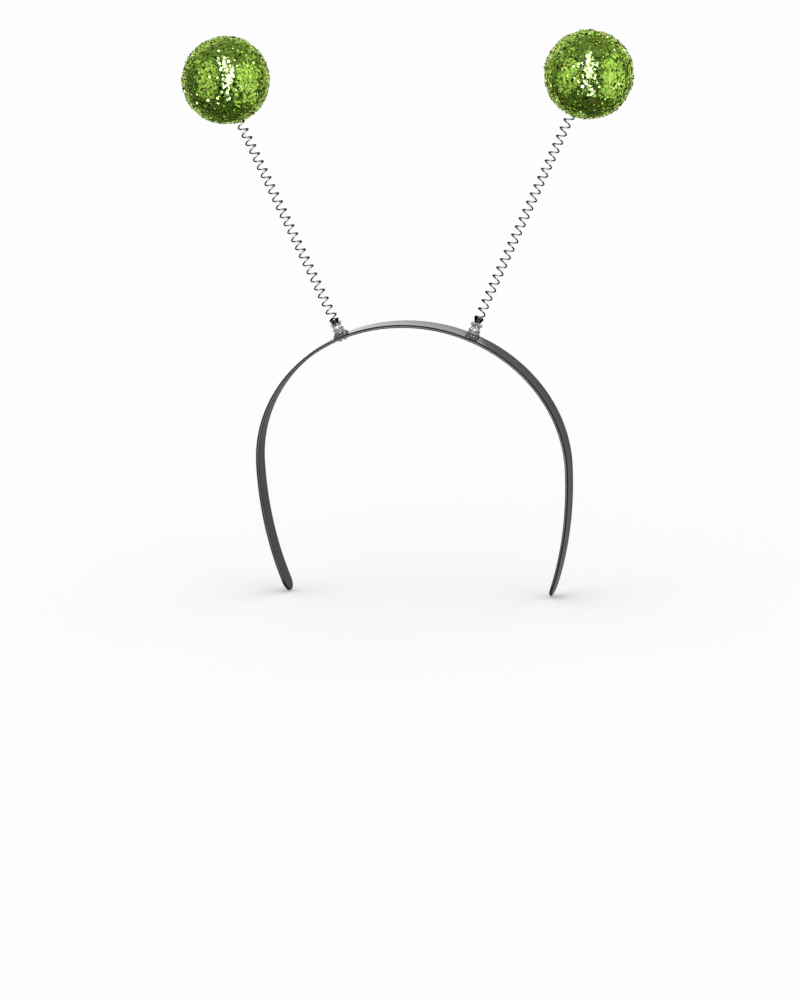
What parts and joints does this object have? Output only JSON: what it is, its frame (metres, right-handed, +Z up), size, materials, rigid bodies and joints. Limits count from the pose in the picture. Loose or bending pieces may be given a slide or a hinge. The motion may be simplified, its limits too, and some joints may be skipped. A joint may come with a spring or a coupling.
{
  "type": "head bopper",
  "caption": "Bent plastic headband with glitter-covered foam balls on slim coil springs that stand out from the crown and bob as the wearer moves.",
  "frame": {"origin": "crown of the headband's inner face, at the middle of its width, where it sits on the head", "axes": "+Z up through the crown, X across the head, the wearer faces -Y"},
  "size_m": [0.2116, 0.0461, 0.2586],
  "materials": {
    "band_plastic": "satin",
    "clear_plastic": "polished",
    "spring_wire": "gloss",
    "green_glitter": "gloss"
  },
  "bodies": {
    "headband": {"headband": "band_plastic", "left_spring_holder": "clear_plastic", "right_spring_holder": "clear_plastic"},
    "left_bopper": {"left_spring": "spring_wire", "left_ball": "green_glitter"},
    "right_bopper": {"right_spring": "spring_wire", "right_ball": "green_glitter"}
  },
  "joints": [
    {"name": "left_bob", "type": "hinge", "parent": "headband", "child": "left_bopper", "pos_m": [-0.03417, 0, 0.00266], "axis": [1, 0, 0], "range_deg": [-35, 35], "stiffness_Nm_per_rad": 0.025, "springref_deg": 2.62, "deforming": ["left_spring"]},
    {"name": "right_bob", "type": "hinge", "parent": "headband", "child": "right_bopper", "pos_m": [0.03471, 0, 0.00395], "axis": [1, 0, 0], "range_deg": [-35, 35], "stiffness_Nm_per_rad": 0.025, "springref_deg": 2.64, "deforming": ["right_spring"]}
  ]
}
